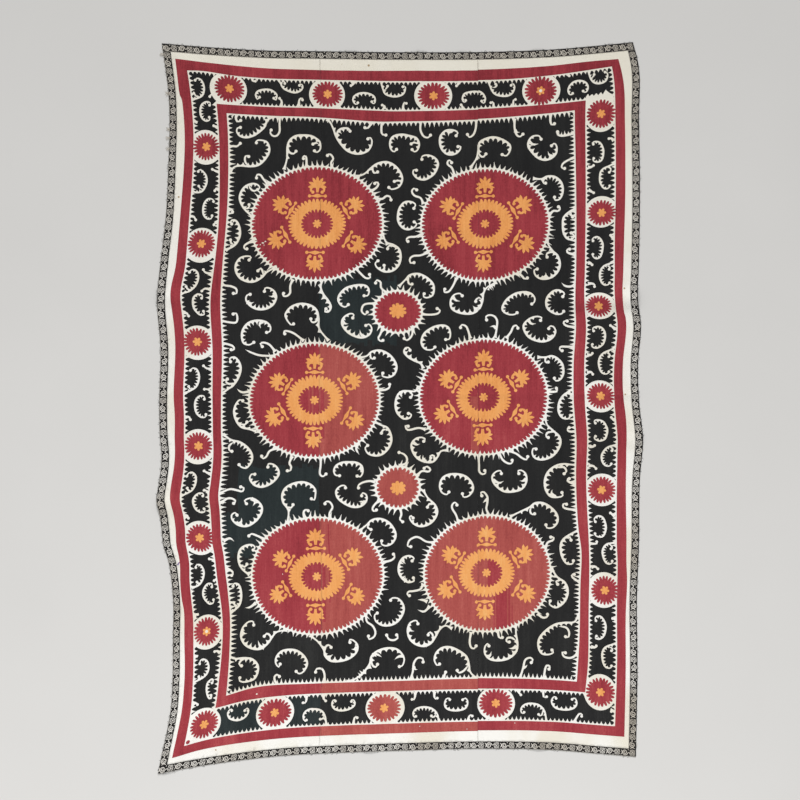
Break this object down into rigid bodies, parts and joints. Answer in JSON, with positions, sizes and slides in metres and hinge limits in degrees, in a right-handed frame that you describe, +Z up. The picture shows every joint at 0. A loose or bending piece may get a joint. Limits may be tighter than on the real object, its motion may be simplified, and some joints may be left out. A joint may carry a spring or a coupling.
{
  "type": "suzani embroidered textile",
  "caption": "Large flat embroidered cotton cloth with round floral medallions, scrolling vines, double red frames and a narrow printed edging, laid out on a surface.",
  "frame": {"origin": "on the surface that the cloth lies on, under the middle of its outline", "axes": "+Z up out of the embroidered face, +Y along the cloth towards its top edge, +X across it to the right as seen from above"},
  "size_m": [1.5878, 2.388, 0.0155],
  "materials": {
    "embroidered_cotton": "handwoven white cotton almost covered with laid and couched thread in black, crimson and orange",
    "printed_edging": "narrow cotton band printed black and off-white with a running scroll"
  },
  "bodies": {
    "root": {"panel_left": "embroidered_cotton", "panel_middle": "embroidered_cotton", "panel_right": "embroidered_cotton", "edging_left": "printed_edging", "edging_right": "printed_edging", "edging_top": "printed_edging", "edging_bottom": "printed_edging"}
  },
  "joints": []
}
